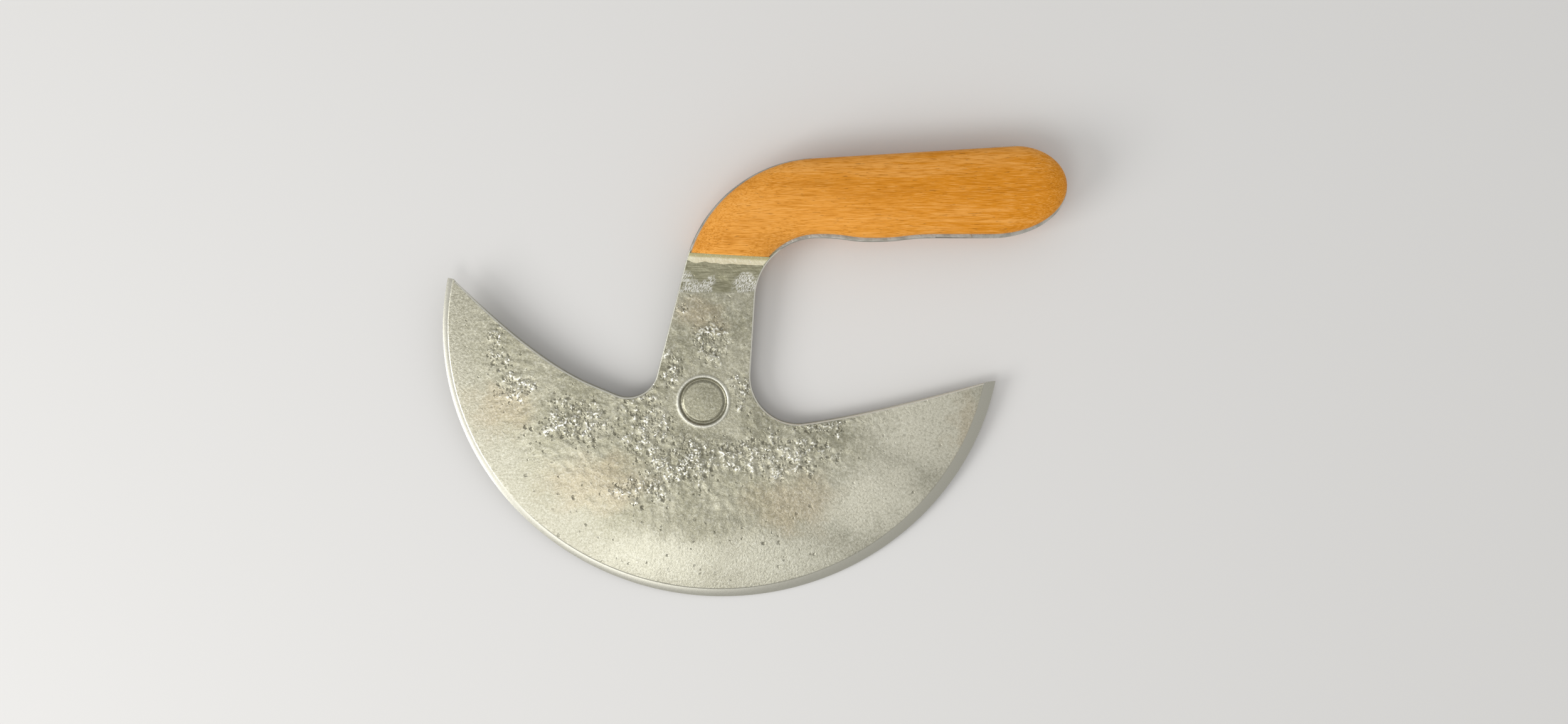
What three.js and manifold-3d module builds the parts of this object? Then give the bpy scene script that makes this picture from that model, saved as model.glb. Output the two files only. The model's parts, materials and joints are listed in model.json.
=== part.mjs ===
// An ulu knife: crescent blade, neck and full tang forged in one piece, with two wooden scales that are
// glued and blind-pinned to the tang. Sizes are in millimetres.
// The knife is drawn flat: the middle of the cutting edge's curve is at (0, 0), +Y runs from the edge to
// the handle, and the middle plane of the steel is z = 0. It is then laid down on its back.
import * as THREE from 'three';
import { mergeVertices } from 'three/addons/utils/BufferGeometryUtils.js';
import Module from 'manifold-3d';

// Cutting edge, an ellipse in plan
const edgeHalfWidth = 87.9;
const edgeHalfDepth = 84.5;

// Steel
const forgedThickness = 4.0;
const tangThickness = 3.6;
const grindWidth = 28;
const bevelWidth = 4;
const bevelThickness = 1.8;
const edgeThickness = 0.3;

// Horns: heights are from the middle of the edge's curve, hangs pull the upper edges down into a bow
const leftTipHeight = 18.2;
const rightTipHeight = -15.1;
const leftHornHang = 7.5;
const rightHornHang = 2.9;
const tipBlunt = 1.5;

// Neck and the notches at its two sides, with leans in degrees from upright
const neckWidth = 26.8;
const neckRightSide = 9.6;
const neckLeftLean = 14.5;
const neckRightLean = 3.5;
const leftNotchDepth = 24.1;
const leftNotchRadius = 9.5;
const rightNotchDepth = 31.4;
const rightNotchRadius = 15.2;

// Handle, with the slope of its back in degrees
const fingerRoom = 61;
const gripLength = 98.4;
const gripRadius = 19.5;
const buttDepth = 28.9;
const buttTopRound = 16.7;
const buttBottomRound = 24;
const heelHeight = 15.7;
const backSlope = 3.5;
const shoulderRadius = 43.5;
const fingerSwell = 1.2;
const swellFrontRun = 16;
const swellRearRun = 20;

// Scales
const scaleThickness = 7.5;
const scaleRound = 5;
const scaleRoundWidth = 7.5;
const scaleInset = 1;
const scaleLift = 0.8;
const scaleDrop = 4.9;
const scaleFrontSkew = 3.2;
const groundNeck = 12.2;

// Resin and pins
const glueThickness = 0.3;
const beadWidth = 3;
const beadHeight = 1.6;
const beadRoot = 1;
const pinRadius = 2;
const pinBite = 4.5;
const pinEndRoom = 0.5;
const pinHeight = 12;
const pinFrontSetback = 2;
const pinRearSetback = 19;

// Gap between pieces that are bonded or pushed together
const seatGap = 0.15;

// Fineness of the curves. An odd count of steps keeps points off the straight middle of an S-curve.
const curveSteps = 9;
const edgeSteps = 144;
const grindSteps = 6;
const roundSteps = 5;
const pinSides = 24;

// Heights and places that follow from the sizes above
const undersideHeight = fingerRoom - rightNotchDepth;
const backHeight = undersideHeight + buttDepth;
const scaleFrontHeight = undersideHeight - scaleDrop;
const finishHeight = scaleFrontHeight - groundNeck;
const buttEnd = neckRightSide + gripLength;
const bondFace = tangThickness / 2 + seatGap;
const woodFace = bondFace + glueThickness + seatGap;
const cutterSize = 4 * (edgeHalfWidth + edgeHalfDepth + gripLength);

// The wood's round-over is no wider than the tightest curve at the butt lets it be.
const tightestRadius = (halfWidth, halfDepth) => Math.min(halfWidth, halfDepth) ** 2
  / Math.max(halfWidth, halfDepth);
const roundOver = Math.min(
  scaleRoundWidth,
  tightestRadius(buttTopRound, buttDepth - heelHeight) - scaleInset - seatGap,
  tightestRadius(buttBottomRound, heelHeight) - scaleInset - seatGap,
);

const wasm = await Module();
wasm.setup();

const at = (x, y) => new THREE.Vector2(x, y);
const slopeOf = (degrees) => Math.tan(THREE.MathUtils.degToRad(degrees));

const neckLeft = (y) => at(neckRightSide - neckWidth + y * slopeOf(neckLeftLean), y);
const neckRight = (y) => at(neckRightSide + y * slopeOf(neckRightLean), y);
const neckMiddle = (y) => neckLeft(y).add(neckRight(y)).divideScalar(2);

// A closed geometry as a solid that can be joined and cut.
function solid(geometry) {
  const bare = geometry.clone();
  bare.deleteAttribute('normal');
  bare.deleteAttribute('uv');
  const merged = mergeVertices(bare);
  const corners = merged.index.array;
  const triangles = [];
  for (let i = 0; i < corners.length; i += 3) {
    const [a, b, c] = corners.slice(i, i + 3);
    if (a !== b && b !== c && c !== a) triangles.push(a, b, c);
  }
  return new wasm.Manifold(new wasm.Mesh({
    numProp: 3,
    vertProperties: new Float32Array(merged.attributes.position.array),
    triVerts: new Uint32Array(triangles),
  }));
}

// A solid back as a geometry. The mirrored one faces the other side of the tang.
function geometryOf(body, mirrored = false) {
  const { vertProperties, triVerts } = body.getMesh();
  const geometry = new THREE.BufferGeometry();
  geometry.setAttribute('position', new THREE.BufferAttribute(vertProperties, 3));
  geometry.setIndex(new THREE.BufferAttribute(mirrored ? triVerts.toReversed() : triVerts, 1));
  if (mirrored) geometry.scale(1, 1, -1);
  geometry.computeVertexNormals();
  return geometry;
}

function meshOf(name, geometry, material) {
  const mesh = new THREE.Mesh(geometry, material);
  mesh.name = name;
  return mesh;
}

// A flat outline as a plate from bottom to top, drawn in from the outline by inset.
function plate(outline, bottom, top, inset = 0) {
  const geometry = new THREE.ExtrudeGeometry(outline, {
    depth: top - bottom,
    curveSegments: curveSteps,
    bevelSegments: 0,
    bevelThickness: 0,
    bevelSize: 0,
    bevelOffset: -inset,
  });
  return geometry.translate(0, 0, bottom);
}

// A block that fills everything on one side of a line across the neck, at a height and a skew in degrees.
function blockBeyond(height, direction, skew = 0) {
  const pivot = neckMiddle(height);
  const block = new THREE.BoxGeometry(cutterSize, cutterSize, cutterSize);
  block.translate(0, direction * cutterSize / 2, 0);
  block.rotateZ(THREE.MathUtils.degToRad(-skew));
  return block.translate(pivot.x, pivot.y, 0);
}

// Runs an outline up to a corner, rounds it and leaves towards the point ahead.
function roundCorner(outline, corner, ahead, radius) {
  const back = outline.currentPoint.clone().sub(corner).normalize();
  const on = ahead.clone().sub(corner).normalize();
  const half = Math.acos(back.dot(on)) / 2;
  const reach = radius / Math.tan(half);
  const centre = back.clone().add(on).setLength(radius / Math.sin(half)).add(corner);
  const start = back.clone().multiplyScalar(reach).add(corner);
  const end = on.clone().multiplyScalar(reach).add(corner);
  const startAngle = start.clone().sub(centre).angle();
  const endAngle = end.clone().sub(centre).angle();
  outline.lineTo(start.x, start.y);
  outline.absarc(centre.x, centre.y, radius, startAngle, endAngle, back.cross(on) > 0);
}

// The handle's outline, from the left side of the neck over the back and round to the right side.
function traceHandle(outline) {
  const backAt = (x) => at(x, backHeight - (buttEnd - buttTopRound - x) * slopeOf(backSlope));
  const backStart = backAt(neckRightSide);
  const shoulderHeight = (backStart.y + (neckLeft(0).x - neckRightSide) * slopeOf(backSlope))
    / (1 - slopeOf(neckLeftLean) * slopeOf(backSlope));
  const heel = undersideHeight + heelHeight;
  const hollowX = neckRight(undersideHeight).x + gripRadius;
  const swellX = hollowX + swellFrontRun;
  const swellEndX = swellX + swellRearRun;
  const swellBottom = undersideHeight - fingerSwell;
  const quarter = Math.PI / 2;

  roundCorner(outline, neckLeft(shoulderHeight), backAt(buttEnd), shoulderRadius);
  outline.absellipse(
    buttEnd - buttTopRound, heel, buttTopRound, buttDepth - heelHeight, quarter, 0, true);
  outline.absellipse(
    buttEnd - buttBottomRound, heel, buttBottomRound, heelHeight, 0, -quarter, true);
  outline.lineTo(swellEndX, undersideHeight);
  outline.bezierCurveTo(
    (swellX + swellEndX) / 2, undersideHeight, (swellX + swellEndX) / 2, swellBottom, swellX, swellBottom);
  outline.bezierCurveTo(
    (swellX + hollowX) / 2, swellBottom, (swellX + hollowX) / 2, undersideHeight, hollowX, undersideHeight);
  roundCorner(outline, neckRight(undersideHeight), neckRight(-rightNotchDepth), gripRadius);
}

// The handle alone, on a stub of neck that is long enough to be cut to the pieces' front ends.
function handleOutline() {
  const straightTop = Math.min(finishHeight, undersideHeight - gripRadius);
  const stub = straightTop - 2 * (roundOver + scaleInset);
  const outline = new THREE.Shape();
  outline.moveTo(neckLeft(stub).x, stub);
  traceHandle(outline);
  outline.lineTo(neckRight(stub).x, stub);
  return outline;
}

// The whole forging. Past the two tips the outline runs outside the cutting edge, which trims it.
function forgingOutline() {
  const edgeX = (height) => edgeHalfWidth * Math.sqrt(1 - (height / edgeHalfDepth) ** 2);
  const bowed = (from, to, hang) => {
    const along = to.clone().sub(from).normalize();
    return from.clone().add(to).divideScalar(2).add(at(along.y, -along.x).multiplyScalar(hang));
  };
  const leftTip = at(-edgeX(leftTipHeight), leftTipHeight);
  const rightTip = at(edgeX(rightTipHeight), rightTipHeight);
  const leftNotch = neckLeft(-leftNotchDepth);
  const rightNotch = neckRight(-rightNotchDepth);
  const leftBow = bowed(leftTip, leftNotch, leftHornHang);
  const rightBow = bowed(rightNotch, rightTip, rightHornHang);
  const leftStart = leftBow.clone().sub(leftTip).setLength(tipBlunt).add(leftTip);
  const rightEnd = rightBow.clone().sub(rightTip).setLength(tipBlunt).add(rightTip);
  const leftRunIn = leftBow.clone().add(leftNotch).divideScalar(2);
  const outside = 2 * edgeHalfWidth;
  const below = -2 * edgeHalfDepth;

  const outline = new THREE.Shape();
  outline.moveTo(leftStart.x, leftStart.y);
  outline.quadraticCurveTo(leftBow.x, leftBow.y, leftRunIn.x, leftRunIn.y);
  roundCorner(outline, leftNotch, neckLeft(0), leftNotchRadius);
  traceHandle(outline);
  roundCorner(outline, rightNotch, rightBow, rightNotchRadius);
  outline.quadraticCurveTo(rightBow.x, rightBow.y, rightEnd.x, rightEnd.y);
  outline.lineTo(outside, rightEnd.y);
  outline.lineTo(outside, below);
  outline.lineTo(-outside, below);
  outline.lineTo(-outside, leftStart.y);
  return outline;
}

// The steel that the grinder leaves: a disc that thins in a convex curve to the sharpened bevel.
function grindDisc() {
  const bevelStart = edgeHalfDepth - bevelWidth;
  const grindStart = bevelStart - grindWidth;
  const upper = [at(0, forgedThickness), at(grindStart, forgedThickness)];
  for (let step = 0; step <= grindSteps; step += 1) {
    const share = step / grindSteps;
    const thickness = forgedThickness - (forgedThickness - bevelThickness) * share ** 2;
    upper.push(at(grindStart + grindWidth * share, thickness / 2));
  }
  upper.push(at(edgeHalfDepth, edgeThickness / 2));
  const lower = upper.map((point) => at(point.x, -point.y));
  const disc = new THREE.LatheGeometry([...lower, ...upper.reverse()], edgeSteps);
  disc.rotateX(Math.PI / 2);
  return disc.scale(edgeHalfWidth / edgeHalfDepth, 1, 1);
}

const pinRowHeight = undersideHeight + pinHeight;
const pinFrontX = neckRight(pinRowHeight).x - pinFrontSetback;
const pinRearX = buttEnd - pinRearSetback;
const pinMiddleX = (pinFrontX + pinRearX) / 2;
const pinPlaces = [
  ['hidden_pin_front', pinFrontX],
  ['hidden_pin_middle', pinMiddleX],
  ['hidden_pin_rear', pinRearX],
];

// A round bar across the tang at one pin's place, for a pin or the hole that takes it.
function crossBar(x, radius, halfLength) {
  const bar = new THREE.CylinderGeometry(radius, radius, 2 * halfLength, pinSides);
  bar.rotateX(Math.PI / 2);
  return bar.translate(x, pinRowHeight, 0);
}

const pinHalfLength = woodFace + pinBite;

function withPinHoles(body) {
  let drilled = body;
  for (const [, x] of pinPlaces) {
    drilled = drilled.subtract(solid(crossBar(x, pinRadius + seatGap, pinHalfLength + pinEndRoom)));
  }
  return drilled;
}

// Everything around the handle above the finish line, from bottom to top.
function handleSide(bottom, top) {
  const spare = -seatGap;
  return solid(plate(handleOutline(), bottom, top, spare)).subtract(solid(blockBeyond(finishHeight, -1)));
}

// Blade, neck and tang. Above the finish line both faces are ground down to the tang's thickness.
function forgedBlade() {
  const tangFace = tangThickness / 2;
  const bar = solid(plate(forgingOutline(), -forgedThickness / 2, forgedThickness / 2));
  const kept = solid(grindDisc()).add(handleSide(-forgedThickness, forgedThickness));
  return withPinHoles(bar.intersect(kept)
    .subtract(handleSide(tangFace, forgedThickness))
    .subtract(handleSide(-forgedThickness, -tangFace)));
}

// One wooden scale for the front of the tang: rounded over along its sides, cut square at its front end.
function frontScale() {
  const wall = scaleThickness - scaleRound;
  const slab = new THREE.ExtrudeGeometry(handleOutline(), {
    depth: 2 * wall,
    curveSegments: curveSteps,
    bevelSegments: roundSteps,
    bevelThickness: scaleRound,
    bevelSize: roundOver,
    bevelOffset: -roundOver - scaleInset,
  });
  slab.translate(0, scaleLift, woodFace - wall);
  const tangSide = new THREE.BoxGeometry(cutterSize, cutterSize, cutterSize);
  tangSide.translate(0, 0, woodFace - cutterSize / 2);
  return withPinHoles(solid(slab)
    .subtract(solid(tangSide))
    .subtract(solid(blockBeyond(scaleFrontHeight, -1, scaleFrontSkew))));
}

// The resin under one scale, with the bead that was pressed out in front of the wood.
function frontGlueLine() {
  const filmTop = bondFace + glueThickness;
  const beadTop = bondFace + beadHeight;
  const inset = scaleInset + seatGap;
  const underWood = (bottom, top) => solid(
    plate(handleOutline(), bottom, top, inset).translate(0, scaleLift, 0));
  const film = underWood(bondFace, filmTop)
    .subtract(solid(blockBeyond(scaleFrontHeight, -1, scaleFrontSkew)));

  const section = new THREE.Shape();
  section.moveTo(beadRoot, bondFace);
  section.lineTo(beadRoot, filmTop);
  section.lineTo(-seatGap, filmTop);
  section.lineTo(-seatGap, beadTop);
  section.quadraticCurveTo(-seatGap, bondFace, -beadWidth, bondFace);
  const strip = new THREE.ExtrudeGeometry(section, {
    depth: cutterSize,
    curveSegments: curveSteps,
    bevelEnabled: false,
  });
  const pivot = neckMiddle(scaleFrontHeight);
  strip.translate(0, 0, -cutterSize / 2);
  strip.rotateX(Math.PI / 2);
  strip.rotateZ(Math.PI / 2 - THREE.MathUtils.degToRad(scaleFrontSkew));
  strip.translate(pivot.x, pivot.y, 0);
  const bead = solid(strip).intersect(underWood(0, 2 * beadTop));
  return withPinHoles(film.add(bead));
}

const steel = () => new THREE.MeshStandardMaterial({ color: 0x8b8a7c, roughness: 0.42, metalness: 1 });
const wood = () => new THREE.MeshStandardMaterial({ color: 0xcf8c3e, roughness: 0.5, metalness: 0 });
const resin = () => new THREE.MeshStandardMaterial({ color: 0xa6a48c, roughness: 0.25, metalness: 0 });
const pinSteel = () => new THREE.MeshStandardMaterial({ color: 0xa8a8a4, roughness: 0.35, metalness: 1 });

const scale = frontScale();
const glueLine = frontGlueLine();
const blade = meshOf('forged_blade', geometryOf(forgedBlade()), steel());
const backScale = meshOf('back_scale', geometryOf(scale, true), wood());

const knife = new THREE.Group();
knife.add(blade, backScale);
knife.add(meshOf('front_scale', geometryOf(scale), wood()));
knife.add(meshOf('front_glue_line', geometryOf(glueLine), resin()));
knife.add(meshOf('back_glue_line', geometryOf(glueLine, true), resin()));
for (const [name, x] of pinPlaces) {
  knife.add(meshOf(name, crossBar(x, pinRadius, pinHalfLength), pinSteel()));
}

// The lowest corner of a mesh, among those that a test picks, when the knife is turned.
function lowestCorner(mesh, turn, isPicked = () => true) {
  const { position } = mesh.geometry.attributes;
  const corner = new THREE.Vector3();
  const lowest = new THREE.Vector3();
  let leastHeight = Infinity;
  for (let i = 0; i < position.count; i += 1) {
    corner.fromBufferAttribute(position, i);
    const { z } = corner.clone().applyQuaternion(turn);
    if (z < leastHeight && isPicked(corner)) {
      leastHeight = z;
      lowest.copy(corner);
    }
  }
  return lowest;
}

// Laid on its back, the knife stands on the front and the rear of the back scale and on the blade. Each
// pass finds these three feet and turns the knife until they are level.
const layingPasses = 8;
const up = new THREE.Vector3(0, 0, 1);
for (let pass = 0; pass < layingPasses; pass += 1) {
  const frontFoot = lowestCorner(backScale, knife.quaternion, (corner) => corner.x < pinMiddleX);
  const rearFoot = lowestCorner(backScale, knife.quaternion, (corner) => corner.x >= pinMiddleX);
  const bladeFoot = lowestCorner(blade, knife.quaternion);
  const upright = bladeFoot.sub(frontFoot).cross(rearFoot.sub(frontFoot)).normalize();
  knife.quaternion.setFromUnitVectors(upright, up);
}

// The origin is the middle of the knife's footprint, on the surface that it lies on.
const box = new THREE.Box3().setFromObject(knife, true);
const footprint = box.getCenter(new THREE.Vector3()).setZ(box.min.z);
knife.position.sub(footprint);

const ulu = new THREE.Group();
ulu.add(knife);

export default ulu;
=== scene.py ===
import json
import math

import bmesh
import bpy
from mathutils import Matrix, Vector, noise
from mathutils.geometry import interpolate_bezier, intersect_line_line_2d


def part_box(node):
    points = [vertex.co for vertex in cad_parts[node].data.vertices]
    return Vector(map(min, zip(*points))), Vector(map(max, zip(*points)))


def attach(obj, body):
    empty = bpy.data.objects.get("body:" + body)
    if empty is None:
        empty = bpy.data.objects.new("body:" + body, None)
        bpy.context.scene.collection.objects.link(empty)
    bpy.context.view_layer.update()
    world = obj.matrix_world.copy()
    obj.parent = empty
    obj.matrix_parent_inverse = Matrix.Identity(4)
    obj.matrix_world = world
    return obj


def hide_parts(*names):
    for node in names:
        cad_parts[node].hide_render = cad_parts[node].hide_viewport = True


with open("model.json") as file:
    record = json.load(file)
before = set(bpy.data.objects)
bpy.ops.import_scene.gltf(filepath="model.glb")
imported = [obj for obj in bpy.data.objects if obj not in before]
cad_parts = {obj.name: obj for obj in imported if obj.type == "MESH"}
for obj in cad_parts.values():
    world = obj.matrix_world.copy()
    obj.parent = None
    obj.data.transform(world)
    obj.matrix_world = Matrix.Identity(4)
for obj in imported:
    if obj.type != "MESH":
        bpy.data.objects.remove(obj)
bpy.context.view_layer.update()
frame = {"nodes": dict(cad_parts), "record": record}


# Forged blade. Crescent, neck and tang are one bar of steel, drawn out hot under the hammer. The faces
# keep their scale pits, the edge zone is ground convex, and the neck is ground flat where the wood starts.
# It is drawn flat in millimetres, from the middle of the edge's curve, and then laid down as it rests.
MM = 0.001
EDGE_HALF_WIDTH = 87.9
EDGE_HALF_DEPTH = 84.5
FORGED_THICKNESS = 4.0
TANG_THICKNESS = 3.6
GRIND_WIDTH = 29.5
BEVEL_WIDTH = 2.5
BEVEL_WIDENING = 0.9
BEVEL_ROWS = 6
BEVEL_BELLY = 0.4
BEVEL_TAPER = 0.375
EDGE_THICKNESS = 0.3
LEFT_TIP_HEIGHT = 18.2
RIGHT_TIP_HEIGHT = -15.1
LEFT_HORN_HANG = 7.5
RIGHT_HORN_HANG = 2.9
TIP_BLUNT = 1.5
NECK_WIDTH = 26.8
NECK_RIGHT_SIDE = 9.6
NECK_LEFT_LEAN = math.radians(14.5)
NECK_RIGHT_LEAN = math.radians(3.5)
LEFT_NOTCH_DEPTH = 24.1
LEFT_NOTCH_RADIUS = 9.5
RIGHT_NOTCH_DEPTH = 31.4
RIGHT_NOTCH_RADIUS = 15.2
FINGER_ROOM = 61
GRIP_LENGTH = 98.4
GRIP_RADIUS = 19.5
BUTT_DEPTH = 28.9
BUTT_TOP_ROUND = 16.7
BUTT_BOTTOM_ROUND = 24
HEEL_HEIGHT = 15.7
BACK_SLOPE = math.radians(3.5)
SHOULDER_RADIUS = 43.5
FINGER_SWELL = 1.2
SWELL_FRONT_RUN = 16
SWELL_REAR_RUN = 20
SCALE_DROP = 4.9
GROUND_NECK = 12.2
GROUND_STEP = 1.4
ARRIS = 0.45
ARRIS_STEPS = 4
ARRIS_FOLD = math.radians(60)
PIN_HEIGHT = 12
PIN_FRONT_SETBACK = 2
PIN_REAR_SETBACK = 19
SKIN_START = 30
SKIN_END = 72
SKIN_CELL = 0.55
OUTER_ROWS = 5
ARC_STEPS = 24
SPOKES = 380
ROW_ROOM = 1.2
FLAT_SPOKE = math.radians(50)
LEFT_FOOT = Vector((2, -16))
RIGHT_FOOT = Vector((-2, -13))
FLAT_AREA = 100
TANG_CELL = 6.1
SHARP_FOLD = math.radians(40)
MERGE = 0.001

underside = FINGER_ROOM - RIGHT_NOTCH_DEPTH
wood_front = underside - SCALE_DROP
finish_line = wood_front - GROUND_NECK
butt_end = NECK_RIGHT_SIDE + GRIP_LENGTH
bevel_start = EDGE_HALF_DEPTH - BEVEL_WIDTH
grind_start = bevel_start - GRIND_WIDTH


def neck_left(y):
    return Vector((NECK_RIGHT_SIDE - NECK_WIDTH + y * math.tan(NECK_LEFT_LEAN), y))


def neck_right(y):
    return Vector((NECK_RIGHT_SIDE + y * math.tan(NECK_RIGHT_LEAN), y))


def arc(centre, half_width, half_height, start, end):
    """Points along an upright ellipse, from one angle to another in degrees."""
    angles = [math.radians(start + (end - start) * k / ARC_STEPS) for k in range(ARC_STEPS + 1)]
    return [centre + Vector((half_width * math.cos(a), half_height * math.sin(a))) for a in angles]


def fillet(before, corner, after, radius):
    """Points round a corner, which is met from one point and left towards another."""
    back = (before - corner).normalized()
    on = (after - corner).normalized()
    half = back.angle(on) / 2
    centre = corner + (back + on).normalized() * radius / math.sin(half)
    start = corner + back * radius / math.tan(half) - centre
    end = corner + on * radius / math.tan(half) - centre
    turn = -start.angle_signed(end) / ARC_STEPS
    return [centre + Matrix.Rotation(turn * k, 2) @ start for k in range(ARC_STEPS + 1)]


def bow(start, pull, end):
    """Points along a curve that one point pulls aside."""
    curve = interpolate_bezier(start, start.lerp(pull, 2 / 3), end.lerp(pull, 2 / 3), end, ARC_STEPS + 1)
    return [point.to_2d() for point in curve]


def s_curve(start, end):
    """Points from one level run to another."""
    half_way = (start.x + end.x) / 2
    curve = interpolate_bezier(
        start, Vector((half_way, start.y)), Vector((half_way, end.y)), end, ARC_STEPS + 1)
    return [point.to_2d() for point in curve]


def handle_curve():
    """The handle's outline, from the left of the neck over the back, the butt and the underside."""
    heel = underside + HEEL_HEIGHT
    back_end = Vector((butt_end - BUTT_TOP_ROUND, underside + BUTT_DEPTH))
    back_rise = math.tan(BACK_SLOPE)
    shoulder_height = (back_end.y - (back_end.x - neck_left(0).x) * back_rise) / (
        1 - math.tan(NECK_LEFT_LEAN) * back_rise)
    hollow = Vector((neck_right(underside).x + GRIP_RADIUS, underside))
    swell = hollow + Vector((SWELL_FRONT_RUN, -FINGER_SWELL))
    swell_end = Vector((swell.x + SWELL_REAR_RUN, underside))
    return [
        *fillet(neck_left(0), neck_left(shoulder_height), back_end, SHOULDER_RADIUS),
        *arc(Vector((back_end.x, heel)), BUTT_TOP_ROUND, BUTT_DEPTH - HEEL_HEIGHT, 90, 0),
        *arc(Vector((butt_end - BUTT_BOTTOM_ROUND, heel)), BUTT_BOTTOM_ROUND, HEEL_HEIGHT, 0, -90)[1:],
        *s_curve(swell_end, swell),
        *s_curve(swell, hollow)[1:],
        *fillet(hollow, neck_right(underside), neck_right(0), GRIP_RADIUS),
    ]


def edge_share(point):
    """How far out a point is, from 0 in the middle of the edge's curve to 1 on the edge."""
    return Vector((point.x / EDGE_HALF_WIDTH, point.y / EDGE_HALF_DEPTH)).length


def on_edge(height, side):
    return Vector((side * EDGE_HALF_WIDTH * math.sqrt(1 - (height / EDGE_HALF_DEPTH) ** 2), height))


def bevel_width(point):
    """The sharpened bevel gets wider from the left tip to the right one."""
    return BEVEL_WIDTH + BEVEL_WIDENING * point.x / EDGE_HALF_WIDTH


def row_share(radius, rim):
    """How far out a row of the spun section is on the spoke to a point of the edge."""
    width = bevel_width(rim)
    if radius > bevel_start:
        return 1 - (EDGE_HALF_DEPTH - radius) / BEVEL_WIDTH * width / EDGE_HALF_DEPTH
    if radius > grind_start:
        radius += (radius - grind_start) / GRIND_WIDTH * (BEVEL_WIDTH - width)
    return radius / EDGE_HALF_DEPTH


def half_thickness(point):
    """Half the steel's thickness: forged, then ground convex, then sharpened to a slight belly."""
    radius = edge_share(point) * EDGE_HALF_DEPTH
    width = bevel_width(point)
    behind_bevel = EDGE_THICKNESS + BEVEL_TAPER * width
    ground = min(max((radius - grind_start) / (EDGE_HALF_DEPTH - width - grind_start), 0), 1)
    sharpened = max((radius - EDGE_HALF_DEPTH + width) / width, 0)
    sharpened -= BEVEL_BELLY * sharpened * (1 - sharpened)
    thickness = FORGED_THICKNESS - (FORGED_THICKNESS - behind_bevel) * ground**2
    return (thickness - (behind_bevel - EDGE_THICKNESS) * sharpened) / 2


def bowed_middle(start, end, hang):
    along = (end - start).normalized()
    return (start + end) / 2 + Vector((along.y, -along.x)) * hang


left_tip = on_edge(LEFT_TIP_HEIGHT, -1)
right_tip = on_edge(RIGHT_TIP_HEIGHT, 1)
left_notch = neck_left(-LEFT_NOTCH_DEPTH)
right_notch = neck_right(-RIGHT_NOTCH_DEPTH)
left_pull = bowed_middle(left_tip, left_notch, LEFT_HORN_HANG)
right_pull = bowed_middle(right_notch, right_tip, RIGHT_HORN_HANG)
left_start = left_tip + (left_pull - left_tip).normalized() * TIP_BLUNT
right_end = right_tip + (right_pull - right_tip).normalized() * TIP_BLUNT
left_run_in = (left_pull + left_notch) / 2
left_corner = fillet(left_run_in, left_notch, neck_left(0), LEFT_NOTCH_RADIUS)
right_corner = fillet(neck_right(0), right_notch, right_pull, RIGHT_NOTCH_RADIUS)

# The crescent is spun from its middle as far as the horns' upper edges. It stops short of the neck on two
# lines, which start where a spoke would meet the notches too flat.
full_turn = 2 * math.pi


def spoke_angle(point):
    return math.atan2(point.y, point.x) % full_turn


def meets_flat(curve, k):
    slant = (curve[k + 1] - curve[k]).angle(curve[k])
    return min(slant, math.pi - slant) < FLAT_SPOKE


left_split = next(k for k in range(ARC_STEPS) if meets_flat(left_corner, k))
right_split = ARC_STEPS - next(k for k in range(ARC_STEPS) if meets_flat(right_corner[::-1], k))
upper_edge = [
    *bow(left_start, left_pull, left_run_in),
    *left_corner[:left_split + 1],
    left_corner[left_split] + LEFT_FOOT,
    right_corner[right_split] + RIGHT_FOOT,
    *right_corner[right_split:],
    *bow(right_corner[-1], right_pull, right_end)[1:],
]


def upper_reach(direction):
    """How far from the middle the upper edge is, along a spoke."""
    far = direction * 2 * EDGE_HALF_WIDTH
    for start, end in zip(upper_edge, upper_edge[1:]):
        hit = intersect_line_line_2d(Vector((0, 0)), far, start, end)
        if hit:
            return hit.length
    return EDGE_HALF_WIDTH


def spin_angle(point):
    """The turn at which the spun section reaches a point, before the curve is widened into an ellipse."""
    return math.atan2(point.y / EDGE_HALF_DEPTH, point.x / EDGE_HALF_WIDTH) % full_turn


bm = bmesh.new()
first_turn = spin_angle(on_edge(left_start.y, -1))
last_turn = spin_angle(on_edge(right_end.y, 1))
skin_rows = math.floor((SKIN_END - SKIN_START) / SKIN_CELL)
rows = [SKIN_START + SKIN_CELL * k for k in range(skin_rows)]
rows += [SKIN_END + (bevel_start - SKIN_END) * k / OUTER_ROWS for k in range(OUTER_ROWS)]
rows += [bevel_start + BEVEL_WIDTH * k / BEVEL_ROWS for k in range(BEVEL_ROWS + 1)]
section = [bm.verts.new((r * math.cos(first_turn), r * math.sin(first_turn), 0)) for r in rows]
section_edges = [bm.edges.new(pair) for pair in zip(section, section[1:])]
bmesh.ops.spin(
    bm, geom=section + section_edges, cent=(0, 0, 0), axis=(0, 0, 1),
    angle=last_turn - first_turn, steps=SPOKES)
bmesh.ops.scale(bm, vec=(EDGE_HALF_WIDTH / EDGE_HALF_DEPTH, 1, 1), verts=bm.verts)
reaches = {}
for vert in bm.verts:
    spoke = vert.co.xy.normalized()
    spoke_key = round(spoke_angle(vert.co), 5)
    if spoke_key not in reaches:
        reaches[spoke_key] = upper_reach(spoke)
    reach = reaches[spoke_key]
    rim = vert.co.xy / edge_share(vert.co)
    vert.co.xy = rim * row_share(edge_share(vert.co) * EDGE_HALF_DEPTH, rim)
    if edge_share(vert.co) < 0.999 and vert.co.xy.length < reach + ROW_ROOM:
        vert.co.xy = spoke * min(reach, rim.length)
    vert.co.z = half_thickness(vert.co)
bmesh.ops.remove_doubles(bm, verts=bm.verts, dist=MERGE)


def on_join(vert):
    return first_joined - 0.0001 < spoke_angle(vert.co) < last_joined + 0.0001


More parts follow.
